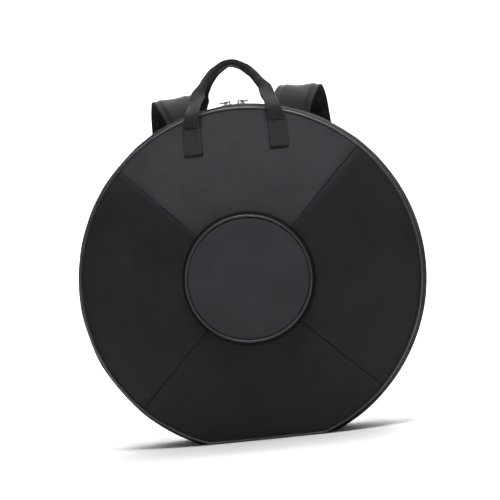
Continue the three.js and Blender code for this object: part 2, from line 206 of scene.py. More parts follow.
def tube(name, path, radius, material, sides=10, closed=False):
    """A round tube along an array of points."""
    path = np.asarray(path)
    if closed:
        tangent = np.roll(path, -1, 0) - np.roll(path, 1, 0)
    else:
        tangent = np.gradient(path, axis=0)
    tangent /= np.linalg.norm(tangent, axis=1, keepdims=True)
    up = np.array([0.0, 1.0, 0.0])
    side = np.cross(tangent, up)
    side /= np.linalg.norm(side, axis=1, keepdims=True)
    other = np.cross(side, tangent)
    a = np.linspace(0, TURN, sides, endpoint=False)
    r = np.broadcast_to(radius, (len(path),))[:, None, None]
    P = path[:, None] + r * (side[:, None] * np.cos(a)[:, None] + other[:, None] * np.sin(a)[:, None])
    n, m = len(path), sides
    u = np.concatenate([[0], np.cumsum(np.linalg.norm(np.diff(path, axis=0), axis=1))])
    uvs = np.stack(np.meshgrid(u, a / TURN * 0.015, indexing="ij"), -1).reshape(-1, 2)
    faces = []
    for i in range(n if closed else n - 1):
        for j in range(m):
            k = (i + 1) % n
            faces.append((i * m + j, i * m + (j + 1) % m, k * m + (j + 1) % m, k * m + j))
    if not closed:
        faces.append(tuple(range(m))[::-1])
        faces.append(tuple((n - 1) * m + j for j in range(m)))
    return mesh_object(name, P.reshape(-1, 3), faces, uvs, material)


def stitch_mesh(name, rows, material, length=0.0032, gap=0.0014, radius=0.00038, lift=0.0002):
    """Stitches along rows of (points, normals): a short bead for each."""
    verts, faces = [], []
    ring = [(0, 1), (0.87, 0.5), (0.87, -0.2), (-0.87, -0.2), (-0.87, 0.5)]
    for points, normals in rows:
        points, normals = np.asarray(points), np.asarray(normals)
        d = np.concatenate([[0], np.cumsum(np.linalg.norm(np.diff(points, axis=0), axis=1))])
        pitch = length + gap
        for k in range(int(d[-1] / pitch)):
            base = len(verts)
            steps = [(0.0, 0.25), (0.18, 0.85), (0.5, 1.0), (0.82, 0.85), (1.0, 0.25)]
            for f, size in steps:
                s = (k + 0.15) * pitch + f * length
                p = np.array([np.interp(s, d, points[:, i]) for i in range(3)])
                q = np.array([np.interp(min(s + 1e-4, d[-1]), d, points[:, i]) for i in range(3)])
                o = np.array([np.interp(max(s - 1e-4, 0), d, points[:, i]) for i in range(3)])
                n = np.array([np.interp(s, d, normals[:, i]) for i in range(3)])
                n /= np.linalg.norm(n)
                t = q - o
                t /= np.linalg.norm(t)
                side = np.cross(t, n)
                for a, b in ring:
                    verts.append(p + n * (lift + b * radius * size) + side * a * radius * 1.2 * size)
            m = len(ring)
            for i in range(len(steps) - 1):
                for j in range(m):
                    a, b = base + i * m + j, base + i * m + (j + 1) % m
                    faces.append((a, b, b + m, a + m))
            faces.append(tuple(base + j for j in range(m))[::-1])
            faces.append(tuple(base + (len(steps) - 1) * m + j for j in range(m)))
    uvs = np.zeros((len(verts), 2))
    return mesh_object(name, verts, faces, uvs, material)


# ---- Materials ----
class Nodes:
    """Short calls for building a node material."""

    def __init__(self, name):
        self.material = bpy.data.materials.new(name)
        self.material.use_nodes = True
        self.tree = self.material.node_tree
        self.shader = self.tree.nodes["Principled BSDF"]

    def new(self, kind, **settings):
        node = self.tree.nodes.new(kind)
        for key, value in settings.items():
            setattr(node, key, value)
        return node

    def link(self, a, b):
        self.tree.links.new(a, b)

    def math(self, op, a, b=0.0, c=0.0):
        node = self.new("ShaderNodeMath", operation=op)
        for socket, value in zip(node.inputs, (a, b, c)):
            if isinstance(value, (int, float)):
                socket.default_value = value
            else:
                self.link(value, socket)
        return node.outputs[0]

    def uv(self):
        split = self.new("ShaderNodeSeparateXYZ")
        self.link(self.new("ShaderNodeTexCoord").outputs["UV"], split.inputs[0])
        return split.outputs[0], split.outputs[1]

    def noise(self, scale, detail=3.0, roughness=0.55):
        coord = self.new("ShaderNodeTexCoord").outputs["Object"]
        node = self.new("ShaderNodeTexNoise")
        node.inputs["Scale"].default_value = scale
        node.inputs["Detail"].default_value = detail
        node.inputs["Roughness"].default_value = roughness
        self.link(coord, node.inputs["Vector"])
        return node.outputs["Fac"]

    def range(self, value, low, high, from_low=0.3, from_high=0.7):
        node = self.new("ShaderNodeMapRange")
        node.inputs["From Min"].default_value = from_low
        node.inputs["From Max"].default_value = from_high
        node.inputs["To Min"].default_value = low
        node.inputs["To Max"].default_value = high
        self.link(value, node.inputs["Value"])
        return node.outputs[0]

    def colour(self, value, dark, light):
        ramp = self.new("ShaderNodeValToRGB")
        ramp.color_ramp.elements[0].color = (*dark, 1)
        ramp.color_ramp.elements[1].color = (*light, 1)
        ramp.color_ramp.elements[0].position = 0.25
        ramp.color_ramp.elements[1].position = 0.75
        self.link(value, ramp.inputs[0])
        self.link(ramp.outputs[0], self.shader.inputs["Base Color"])

    def bump(self, *layers):
        """Layers of (height, strength, distance), the last one on top."""
        normal = None
        for height, strength, distance in layers:
            node = self.new("ShaderNodeBump")
            node.inputs["Strength"].default_value = strength
            node.inputs["Distance"].default_value = distance
            self.link(height, node.inputs["Height"])
            if normal:
                self.link(normal, node.inputs["Normal"])
            normal = node.outputs[0]
        self.link(normal, self.shader.inputs["Normal"])

    def set(self, **values):
        names = {"rough": "Roughness", "metal": "Metallic", "sheen": "Sheen Weight",
                 "sheen_rough": "Sheen Roughness", "specular": "Specular IOR Level"}
        for key, value in values.items():
            self.shader.inputs[names[key]].default_value = value


def weave(m, pitch):
    """Plain weave: a checker of raised threads."""
    u, v = m.uv()
    a = m.math("SINE", m.math("MULTIPLY", u, TURN / pitch))
    b = m.math("SINE", m.math("MULTIPLY", v, TURN / pitch))
    return m.math("MULTIPLY_ADD", m.math("MULTIPLY", a, b), 0.5, 0.5)


def cloth_material(name, dark, light, pitch=0.0011, rough=(0.46, 0.6), bump=0.35, sheen=0.06, wrinkle=0.35,
                   specular=0.1):
    m = Nodes(name)
    threads = weave(m, pitch)
    fibres = m.noise(1400.0, 2.0)
    blotch = m.noise(14.0, 5.0)
    # The colour is lighter on the raised threads and darker where they dip, which is painted shade in the
    # weave, mixed with a random blotchy tone.
    mix = m.math("MULTIPLY_ADD", threads, 0.35, m.math("MULTIPLY", blotch, 0.65))
    m.colour(mix, dark, light)
    m.link(m.range(blotch, *rough), m.shader.inputs["Roughness"])
    m.set(sheen=sheen, sheen_rough=0.45, specular=specular)
    m.bump((m.noise(22.0, 5.0, 0.6), wrinkle, 0.004), (threads, bump, 0.0004), (fibres, 0.15, 0.0002))
    return m.material


def webbing_material(name, dark, light, width=0.0022, pitch=0.0016):
    m = Nodes(name)
    u, v = m.uv()
    columns = m.math("ABSOLUTE", m.math("SINE", m.math("MULTIPLY", v, math.pi / width)))
    slant = m.math("MULTIPLY_ADD", v, 0.6, u)
    twill = m.math("SINE", m.math("MULTIPLY", slant, TURN / pitch))
    height = m.math("MULTIPLY_ADD", twill, 0.25, columns)
    # The colour follows the weave's height and is darker in its grooves: painted shade.
    m.colour(m.range(height, 0.2, 0.8, 0.0, 1.2), dark, light)
    m.link(m.range(m.noise(60.0), 0.55, 0.75), m.shader.inputs["Roughness"])
    m.set(sheen=0.03, sheen_rough=0.4, specular=0.15)
    m.bump((m.noise(35.0, 4.0), 0.2, 0.002), (height, 0.6, 0.0006))
    return m.material


def vinyl_material():
    m = Nodes("piping_vinyl")
    # The piping's colour is kept lighter than the cloth's to stand in for the highlight along it, a painted
    # highlight with a random tone.
    m.colour(m.noise(30.0, 4.0), (0.020, 0.020, 0.021), (0.036, 0.036, 0.038))
    m.link(m.range(m.noise(45.0, 5.0), 0.28, 0.46), m.shader.inputs["Roughness"])
    m.set(specular=0.4)
    m.bump((m.noise(90.0, 4.0), 0.35, 0.0015), (m.noise(900.0, 2.0), 0.15, 0.0003))
    return m.material


def mesh_material():
    m = Nodes("air_mesh")
    u, v = m.uv()
    pitch = 0.0042
    a = m.math("SINE", m.math("MULTIPLY", m.math("ADD", u, v), TURN / pitch))
    b = m.math("SINE", m.math("MULTIPLY", m.math("SUBTRACT", u, v), TURN / pitch))
    holes = m.math("MULTIPLY_ADD", m.math("MULTIPLY", a, b), 0.5, 0.5)
    # The holes are coloured darker than the threads around them: painted shade in the recesses.
    m.colour(m.range(holes, 0.0, 1.0, 0.35, 0.75), (0.008, 0.008, 0.0085), (0.0015, 0.0015, 0.0015))
    m.set(rough=0.85, sheen=0.05, sheen_rough=0.5, specular=0.15)
    m.bump((m.noise(25.0, 4.0), 0.3, 0.003), (m.math("SUBTRACT", 1.0, holes), 0.8, 0.0010))
    return m.material


def plain_material(name, dark, light, rough, scale=200.0, bump=0.2, metal=0.0):
    m = Nodes(name)
    m.colour(m.noise(40.0, 4.0), dark, light)
    m.link(m.range(m.noise(25.0, 6.0), *rough), m.shader.inputs["Roughness"])
    m.set(metal=metal)
    m.bump((m.noise(scale, 4.0), bump, 0.0004))
    return m.material


# Lit and shaded copies of one cloth: the top gore and the cap get lighter copies, painted light from above
# and in front; the side and bottom gores the plain one; the gusset, the hinge and the cap wall a darker copy,
# painted shade.
CLOTH = cloth_material("oxford_cloth", (0.0105, 0.0105, 0.0115), (0.0195, 0.0195, 0.0215), wrinkle=0.4)
# A lighter copy for the top gore: painted light from above.
CLOTH_LIT_TOP = cloth_material("oxford_cloth_lit_top", (0.025, 0.025, 0.029), (0.042, 0.042, 0.048), wrinkle=0.4)
# A darker copy for the gusset, the hinge and the cap wall: painted shade.
GUSSET_CLOTH_SHADED = cloth_material("gusset_cloth", (0.0055, 0.0055, 0.006), (0.011, 0.011, 0.012),
                              rough=(0.65, 0.8), sheen=0.0, specular=0.03)
# A lighter copy for the cap: painted light from the front.
CAP_CLOTH_LIT = cloth_material("cap_cloth_lit", (0.024, 0.024, 0.028), (0.040, 0.040, 0.046), wrinkle=0.5)
STRAP_CLOTH = cloth_material("strap_cloth", (0.019, 0.019, 0.0195), (0.034, 0.034, 0.035))
LINING = cloth_material("lining_cloth", (0.030, 0.031, 0.035), (0.060, 0.061, 0.068), pitch=0.0007,
                        rough=(0.45, 0.6), bump=0.2)
WEBBING = webbing_material("webbing", (0.009, 0.009, 0.0095), (0.034, 0.034, 0.035))
TAPE = webbing_material("zip_tape", (0.004, 0.004, 0.004), (0.010, 0.010, 0.010), 0.0009, 0.0009)
PIPING = vinyl_material()
MESH = mesh_material()
THREAD = plain_material("thread", (0.014, 0.014, 0.015), (0.030, 0.030, 0.032), (0.4, 0.6), 800.0, 0.4)
COIL = plain_material("zip_coil", (0.010, 0.010, 0.010), (0.020, 0.020, 0.020), (0.3, 0.45), 500.0)
NICKEL = plain_material("nickel", (0.52, 0.52, 0.53), (0.68, 0.68, 0.69), (0.26, 0.4), 300.0, 0.12, metal=1.0)
ACETAL = plain_material("acetal", (0.010, 0.010, 0.010), (0.018, 0.018, 0.018), (0.35, 0.5), 600.0, 0.3)


def place(obj, body, slot, *nodes):
    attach(obj, body)
    if nodes:
        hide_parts(*nodes)
    return obj


# ---- Cones: four gores on each half ----
GORES = {"top": 0.0, "right": 0.5, "bottom": 1.0, "left": 1.5}
SEAM_PROUD = 0.0075  # how far a seam stands out of the middle of the cloth beside it


def gore_grid(side, middle, nu=76, nv=48):
    front = side == "front"
    inner_r = CAP_BASE_R if front else BACK_SEAM_R
    half = math.pi / 4
    u = np.linspace(-1, 1, nu)
    # Closer rows by the seams.
    u = np.sign(u) * (1 - (1 - np.abs(u)) ** 1.25)
    s = np.linspace(0, 1, nv)
    U, S = np.meshgrid(u, s, indexing="ij")
    r = RIM_R + (inner_r - RIM_R) * S
    edge = 0.0007 / np.maximum(r, 0.05)
    a = middle + U * (half - edge)
    y = front_y(r) if front else back_y(r)
    out = -1.0 if front else 1.0
    proud = (SEAM_PROUD if front else 0.004) * (U**2 - 0.42) * np.sin(np.pi * S) ** 0.8
    x, z = r * np.sin(a), r * np.cos(a)
    P = np.stack([x, y, z], -1)
    seed = 3.1 + 2.3 * middle + (0 if front else 11)
    # Soft dents, slack near the seams, and pulled folds that run in from the rim.
    slack = np.sin(np.pi * np.clip(S, 0, 1)) ** 0.5
    soft = 0.0016 * fbm(P, 9.0, seed, 3) * slack
    low = smooth(-z, 0.0, 0.25)
    soft = soft + 0.0022 * low * fbm(P * np.array([0.6, 1, 2.2]), 9.0, seed + 5, 2) * slack
    pull = 0.0006 * np.sin(a * 46 + 3 * fbm(P, 6.0, seed + 1, 2)) * np.exp(-S * 7) * (1 - np.exp(-S * 40))
    # The cloth rolls down into each seam, and puckers along it.
    d = (1 - np.abs(U)) * (half * r)
    roll = -0.0017 * np.exp(-((d / 0.0035) ** 1.5))
    pucker = 0.00035 * np.sin(r / 0.0085 * TURN + 2 * np.sin(r * 90)) * np.exp(-d / 0.008)
    y = y + out * (proud + soft + pull + roll + pucker * slack)
    return press(x, y, z, inner_r)


def seam_rows(side, middle):
    """Two lines of points and normals beside each seam of a gore, for its topstitching."""
    P = gore_grid(side, middle, 121, 60)
    n = normals_of(P)
    n = n * np.sign(n[60, 30, 1] * (-1 if side == "front" else 1))
    rows = []
    for sign in (-1, 1):
        d = np.linalg.norm(np.diff(P[::sign], axis=0), axis=-1).cumsum(axis=0)
        line, across = [], []
        for j in range(2, 58):
            k = int(np.searchsorted(d[:, j], 0.0055))
            line.append(P[::sign][k, j])
            across.append(n[::sign][k, j])
        rows.append((line, across))
    return rows


def gores(half, body, out):
    rows = []
    for side, turns in GORES.items():
        grid = gore_grid(half, turns * math.pi)
        # The top gore takes the lighter copy of the cloth: painted light from above.
        cloth = CLOTH_LIT_TOP if side == "top" else CLOTH
        gore = skin(f"{half}_{side}_cloth", grid, CLOTH_THICK, cloth, flip=out > 0)
        place(gore, body, "cloth", f"{half}_gore_{side}")
        rows += seam_rows(half, turns * math.pi)
    place(stitch_mesh(f"{half}_seam_stitches", rows, THREAD), body, "cloth")


gores("front", "lid", -1)
gores("back", "base", 1)


def ring_grid(profile, angles, inner=CAP_BASE_R, wobble=None):
    """Points of a profile of (radius, y) turned about the bag's axis."""
    A, R = np.meshgrid(angles, profile[:, 0], indexing="ij")
    Y = np.broadcast_to(profile[:, 1], A.shape).copy()
    if wobble is not None:
        R, Y = wobble(A, R, Y)
    return press(R * np.sin(A), Y, R * np.cos(A), inner)


# ---- Gussets ----
def gusset_wobble(seed):
    def wobble(A, R, Y):
        P = np.stack([R * np.sin(A), Y, R * np.cos(A)], -1)
        t = (np.abs(Y) - TAPE_EDGE_Y) / (RIM_Y - TAPE_EDGE_Y)
        slack = np.sin(np.pi * np.clip(t, 0, 1)) ** 0.6
        puckers = 0.0005 * np.sin(A * 150 + 4 * np.sin(A * 9)) * np.exp(-((1 - t) ** 2) / 0.02)
        return R + slack * 0.0019 * fbm(P, 11.0, seed, 3) + puckers - 0.0012 * smooth(t, 0.97, 1.0), Y
    return wobble


def gusset(half, sign):
    y = sign * np.linspace(RIM_Y, TAPE_EDGE_Y, 30)
    profile = np.stack([gusset_r(y), y], -1)
    grid = ring_grid(profile, np.linspace(0, TURN, 481), wobble=gusset_wobble(3.0 + sign))
    # The gusset takes the darker copy of the cloth: painted shade.
    obj = skin(f"{half}_gusset_cloth", grid, CLOTH_THICK, GUSSET_CLOTH_SHADED, flip=sign < 0, closed_u=True)
    place(obj, half, "cloth", f"{half}_gusset")
    rows = []
    for edge in (TAPE_EDGE_Y + 0.0025, RIM_Y - 0.0045):
        A = np.linspace(-math.pi, math.pi, 900)
        R = gusset_r(edge) + 0.0008
        line = press(R * np.sin(A), np.full_like(A, sign * edge), R * np.cos(A))
        normal = np.stack([np.sin(A), 0 * A, np.cos(A)], -1)
        normal[line[:, 2] < 0.0006] = (0, 0, -1)
        line[:, 2] = np.maximum(line[:, 2], 0.0006)
        rows.append((line, normal))
    place(stitch_mesh(f"{half}_gusset_stitches", rows, THREAD), half, "cloth")


gusset("lid", -1)
gusset("base", 1)


def hinge_cloth():
    """The hinge panel is one cloth that crosses the fold."""
    angles = np.linspace(ZIP_END + 0.001, TURN - ZIP_END - 0.001, 60)
    y = np.linspace(-TAPE_EDGE_Y, TAPE_EDGE_Y, 17)
    grid = ring_grid(np.stack([gusset_r(y), y], -1), angles)
    # The hinge takes the darker copy of the cloth: painted shade.
    hinge = skin("hinge_cloth", grid, CLOTH_THICK, GUSSET_CLOTH_SHADED)
    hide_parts("lid_hinge_panel", "base_hinge_panel")
    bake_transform(hinge)


hinge_cloth()


# ---- Zip ----
COIL_PITCH = 0.0021
ZIP_R = 0.294


def zip_half(half, sign):
    y = sign * np.linspace(TAPE_EDGE_Y, TEETH_EDGE_Y + 0.0003, 7)
    grid = ring_grid(np.stack([gusset_r(y) - 0.0006, y], -1), np.linspace(-ZIP_END, ZIP_END, 400))
    place(skin(f"{half}_tape_cloth", grid, TAPE_THICK, TAPE, flip=sign < 0), half, "tape", f"{half}_zip_tape")
    # A coil: each turn is a rounded ridge across the band.
    teeth = 2 * int(ZIP_END * ZIP_R / COIL_PITCH)
    steps = np.linspace(-ZIP_END, ZIP_END, teeth * 3 + 1)
    wave = np.cos(np.arange(len(steps)) / 3 * TURN)
    across = sign * np.array([0.0041, 0.0036, 0.0024, 0.0012, 0.0008])
    lift = np.array([-0.0012, 0.0006, 0.0011, 0.0006, -0.0012])
    A, Y = np.meshgrid(steps, across, indexing="ij")
    R = RIM_R + BULGE - 0.0008 + lift[None] + 0.0005 * wave[:, None]
    grid = press(R * np.sin(A), Y, R * np.cos(A))
    place(skin(f"{half}_coil", grid, TAPE_THICK, COIL, flip=sign < 0), half, "teeth", f"{half}_zip_teeth")


def zip_end(side, sign):
    """A tab of webbing sewn over the end of the zip."""
    a = sign * np.linspace(ZIP_END - 0.033, ZIP_END + 0.018, 8)
    y = np.linspace(-0.0005, 0.0138, 8)
    bulge = 0.0006 * np.sin(np.linspace(0, math.pi, 8))
    R = RIM_R + BULGE + 0.0024 + bulge[:, None]
    A, Y = np.meshgrid(a, y, indexing="ij")
    grid = press(R * np.sin(A), Y, R * np.cos(A))
    end = skin(f"zip_end_cloth_{side}", grid, 0.001, WEBBING, flip=sign < 0)
    place(end, "base", "webbing", f"zip_end_tab_{side}")


zip_half("lid", -1)
zip_half("base", 1)
zip_end("left", -1)
zip_end("right", 1)


# ---- Piping ----
def piping(name, node, body, r, y, count, inner=CAP_BASE_R, rim=False, seed=1.0):
    A = np.linspace(0, TURN, count, endpoint=False)
    wob = np.stack([np.sin(A) * r, 0 * A + y, np.cos(A) * r], -1)
    R = r + 0.0004 * fbm(wob, 14.0, seed, 2)
    path = press(R * np.sin(A), np.full_like(A, y), R * np.cos(A), inner)
    if rim:
        path[:, 2] = np.maximum(path[:, 2], PIPING_R + 0.0001)
    pinch = PIPING_R * (1 + 0.05 * np.sin(A * 330 + 5 * np.sin(A * 7)))
    place(tube(name, path, pinch, PIPING, 12, closed=True), body, "piping", node)


RIM_PIPE_R = RIM_R + 0.0016
piping("lid_piping_cord", "lid_rim_piping", "lid", RIM_PIPE_R, -(RIM_Y + 0.0024), 720, rim=True, seed=2)
piping("base_piping_cord", "base_rim_piping", "base", RIM_PIPE_R, RIM_Y + 0.0024, 720, rim=True, seed=4)
piping("cap_piping_cord", "cap_piping", "lid", CAP_R + 0.0006, CAP_TOP_Y - 0.0002, 420, seed=6)
piping("back_piping_cord", "back_panel_piping", "base", BACK_PANEL_R + 0.0028,
       float(back_y(BACK_SEAM_R)) + 0.0015, 540, inner=BACK_SEAM_R, seed=8)


# ---- Cap ----
def cap_wall():
    t = np.linspace(0, 1, 26)
    A, T = np.meshgrid(np.linspace(0, TURN, 361), t, indexing="ij")
    R = CAP_BASE_R + 0.0015 + (CAP_R - 0.0012 - CAP_BASE_R) * T
    Y = CAP_BASE_Y + 0.002 + (CAP_TOP_Y + 0.0015 - CAP_BASE_Y - 0.002) * T
    # The wall buckles into a few lying folds, most of them low on the left.
    P = np.stack([R * np.sin(A), Y, R * np.cos(A)], -1)
    hang = np.exp(-((np.angle(np.exp(1j * (A - math.radians(-140)))) / 0.55) ** 2))
    low = 0.35 + 0.65 * smooth(-np.cos(A), -0.4, 0.9)
    fold = 0.0016 * np.sin(T * TURN * 1.25 + 1.8 * fbm(P, 16.0, 5.0, 2))
    sag = 0.0024 * fbm(P, 20.0, 9.0, 3)
    shape = np.sin(np.pi * T) ** 0.7
    R = R + shape * (fold * low + sag * (0.35 + 1.1 * hang) - 0.0016)
    Y = Y - 0.0025 * hang * (1 - T) * np.sin(A * 31)
    return press(R * np.sin(A), Y, R * np.cos(A))


# The cap wall takes the darker copy of the cloth: painted shade.
place(skin("cap_wall_cloth", cap_wall(), 0.002, GUSSET_CLOTH_SHADED, closed_u=True), "lid", "cloth", "cap_wall")


def cap_top():
    """A round cloth that stands proud in the middle and turns down at its edge."""
    crown, sag = 0.0045, 0.0014
    A, S = np.meshgrid(np.linspace(0, TURN, 201), np.linspace(0.004, 1, 40), indexing="ij")
    R = (CAP_R - 0.0008) * S
    x, z = R * np.sin(A), R * np.cos(A)
    P = np.stack([x, 0 * x, z], -1)
    rise = crown * (1 - S**2.2) ** 0.9 + sag * fbm(P, 9.0, 4.0, 3) * (1 - S**6)
    rise = rise + 0.0004 * fbm(P, 38.0, 7.0, 2) * (1 - S**6) - 0.0018 * smooth(S, 0.965, 1.0)
    grid = np.stack([x, CAP_TOP_Y - 0.0002 - rise, z + H], -1)
    # The cap takes a lighter copy of the cloth: painted light.
    obj = skin("cap_top_cloth", grid, CLOTH_THICK, CAP_CLOTH_LIT, closed_u=True)
    flat_uvs(obj, x, z)
    return obj


place(cap_top(), "lid", "cloth", "cap_top")


# ---- Back panel: mesh over foam, with sewn channels ----
BACK_Y = float(back_y(BACK_SEAM_R)) + 0.005


def back_panel():
    A, S = np.meshgrid(np.linspace(0, TURN, 241), np.linspace(0.004, 1, 70), indexing="ij")
    R = BACK_PANEL_R * S
    x, z = R * np.sin(A), R * np.cos(A)
    channel = np.exp(-((np.abs(x) - 0.05) / 0.0035) ** 2) * 0.004
    channel = channel + np.exp(-((z % 0.072 - 0.036) / 0.003) ** 2) * 0.0022 * (np.abs(x) > 0.05)
    P = np.stack([x, 0 * x, z], -1)
    rise = 0.0035 * (1 - S**3) - channel * (1 - smooth(S, 0.93, 1)) - 0.006 * smooth(S, 0.94, 1.0) ** 1.5
    rise = rise + 0.0009 * fbm(P, 10.0, 6.0, 3) * (1 - S**4)
    grid = np.stack([x, BACK_Y - 0.0015 + rise, z + H], -1)
    obj = skin("back_panel_mesh", grid, 0.006, MESH, flip=True, closed_u=True)
    flat_uvs(obj, x, z)
    return obj


panel = place(back_panel(), "base", "mesh", "back_panel")


# ---- Linings, seen when the lid is open ----
def lining(name, line, body, node, sign):
    t = np.linspace(0, 1, 46)
    line = np.array(line)
    d = np.concatenate([[0], np.cumsum(np.linalg.norm(np.diff(line, axis=0), axis=1))])
    d /= d[-1]
    R = np.interp(t, d, line[:, 0])
    Y = np.interp(t, d, line[:, 1])

    def wobble(A, R, Y):
        P = np.stack([R * np.sin(A), Y, R * np.cos(A)], -1)
        f = 0.002 * fbm(P, 9.0, 2.0 + sign, 3)
        return R - np.abs(f) * 0.5, Y - sign * f * smooth(0.27 - R, 0, 0.03)

    grid = ring_grid(np.stack([R, Y], -1), np.linspace(0, TURN, 181), wobble=wobble)
    obj = skin(name, grid, 0.001, LINING, flip=sign < 0, closed_u=True)
    place(obj, body, "lining", node)


R0 = RIM_R - WALL - 0.0013
lining("lid_lining_cloth", [
    (R0, -0.013), (R0 - 0.003, -(RIM_Y - 0.009)), (0.2, float(front_y(0.2)) + 0.011),
    (0.105, CAP_BASE_Y + 0.011), (CAP_R - 0.007, CAP_TOP_Y + 0.009), (0.0005, CAP_TOP_Y + 0.009),
], "lid", "lid_lining", -1)
lining("base_lining_cloth", [
    (R0, 0.013), (R0 - 0.003, RIM_Y - 0.009), (0.169, float(back_y(0.169)) - 0.012),
    (0.153, BACK_Y - 0.0135), (0.0005, BACK_Y - 0.0135),
], "base", "base_lining", 1)


# ---- Strips of webbing and straps ----
def curve_points(path, count):
    """Points of a smooth curve through the path, spaced evenly."""
    p = np.asarray(path, dtype=float)
    ext = np.concatenate([[2 * p[0] - p[1]], p, [2 * p[-1] - p[-2]]])
    knots = np.concatenate([[0], np.cumsum(np.linalg.norm(np.diff(ext, axis=0), axis=1) ** 0.5)])
    out, param = [], []
    for i in range(1, len(ext) - 2):
        t0, t1, t2, t3 = knots[i - 1 : i + 3]
        q0, q1, q2, q3 = ext[i - 1 : i + 3]
        for t in np.linspace(t1, t2, 24, endpoint=False):
            a1 = (t1 - t) / (t1 - t0) * q0 + (t - t0) / (t1 - t0) * q1
            a2 = (t2 - t) / (t2 - t1) * q1 + (t - t1) / (t2 - t1) * q2
            a3 = (t3 - t) / (t3 - t2) * q2 + (t - t2) / (t3 - t2) * q3
            b1 = (t2 - t) / (t2 - t0) * a1 + (t - t0) / (t2 - t0) * a2
            b2 = (t3 - t) / (t3 - t1) * a2 + (t - t1) / (t3 - t1) * a3
            out.append((t2 - t) / (t2 - t1) * b1 + (t - t1) / (t2 - t1) * b2)
            param.append((i - 1 + (t - t1) / (t2 - t1)) / (len(p) - 1))
    out.append(p[-1])
    param.append(1.0)
    out, param = np.array(out), np.array(param)
    d = np.concatenate([[0], np.cumsum(np.linalg.norm(np.diff(out, axis=0), axis=1))])
    s = np.linspace(0, d[-1], count)
    points = np.stack([np.interp(s, d, out[:, i]) for i in range(3)], -1)
    return points, np.interp(s, d, param), s


def frames(path, across, count):
    points, t, s = curve_points(path, count)
    tangent = np.gradient(points, axis=0)
    tangent /= np.linalg.norm(tangent, axis=1, keepdims=True)
    across = np.asarray(across, dtype=float)
    k = t * (len(across) - 1)
    side = np.stack([np.interp(k, range(len(across)), across[:, i]) for i in range(3)], -1)
    side -= tangent * np.sum(side * tangent, 1, keepdims=True)
    side /= np.linalg.norm(side, axis=1, keepdims=True)
    up = np.cross(tangent, side)
    return points, side, up, t, s


def strip(name, path, across, width, section, material, count, shape=None):
    """A strap: its section is a closed loop of (across, up) in shares of its width and in metres."""
    points, side, up, t, s = frames(path, across, count)
    W = np.broadcast_to(width(t) if callable(width) else width, t.shape)
    if callable(section):
        section = section(t)
    section = np.broadcast_to(section, (count, *np.shape(section)[-2:]))
    U = section[:, :, 0] * W[:, None]
    V = section[:, :, 1].copy()
    if shape:
        U, V = shape(U, V, t, s)
    P = points[:, None] + side[:, None] * U[..., None] + up[:, None] * V[..., None]
    n, m = P.shape[:2]
    around = np.concatenate([[0], np.cumsum(np.hypot(np.diff(U[n // 2]), np.diff(V[n // 2])))])
    # Each face's UVs run across the strap, so both sides carry the weave along it.
    uvs = np.stack([np.broadcast_to(s[:, None], (n, m)), np.broadcast_to(around[None], (n, m))], -1)
    faces = []
    for i in range(n - 1):
        for j in range(m):
            j2 = (j + 1) % m
            faces.append((i * m + j, i * m + j2, (i + 1) * m + j2, (i + 1) * m + j))
    faces.append(tuple(range(m))[::-1])
    faces.append(tuple((n - 1) * m + j for j in range(m)))
    return mesh_object(name, P.reshape(-1, 3), faces, uvs.reshape(-1, 2), material)


def flat_section(thick, count=9, round_edge=0.5):
    """A webbing's section: two flat faces and rounded edges."""
    x = np.linspace(-0.5, 0.5, count)
    top = [(v, thick / 2 * (1 if abs(v) < 0.49 else round_edge)) for v in x]
    bottom = [(v, -thick / 2 * (1 if abs(v) < 0.49 else round_edge)) for v in x[::-1]]
    return top + bottom


def on_cone(side, x, z, lift):
    r = math.hypot(x, z)
    return (x, float(front_y(r)) - lift if side < 0 else float(back_y(r)) + lift, z + H)


def across_cone(side, x, z):
    r = math.hypot(x, z)
    surface = front_y if side < 0 else back_y
    slope = float(surface(r + 0.001) - surface(r - 0.001)) / 0.002
    return (1, slope * x / r, 0)


def box_stitch(path, across, width, lift, count=40):
    """A sewn box with a cross in it, on a strip's outer face."""
    points, side, up, t, s = frames(path, across, count)
    out_y = np.sign(points[0, 1])
    up = up * np.sign(up[:, 1] * out_y)[:, None]
    w = width / 2 - 0.003
    lo, hi = 3, count - 4

    def at(k, a):
        return points[k] + side[k] * a + up[k] * lift

    def line(ks, offsets):
        return [at(k, a) for k, a in zip(ks, offsets)], [up[k] for k in ks]

    ks = list(range(lo, hi + 1))
    wide = np.linspace(-w, w, 12)
    rows = [line(ks, [-w] * len(ks)), line(ks, [w] * len(ks))]
    for k in (lo, hi):
        rows.append(([at(k, a) for a in wide], [up[k]] * 12))
    rows.append(line(ks, np.linspace(-w, w, len(ks))))
    rows.append(line(ks, np.linspace(w, -w, len(ks))))
    return rows


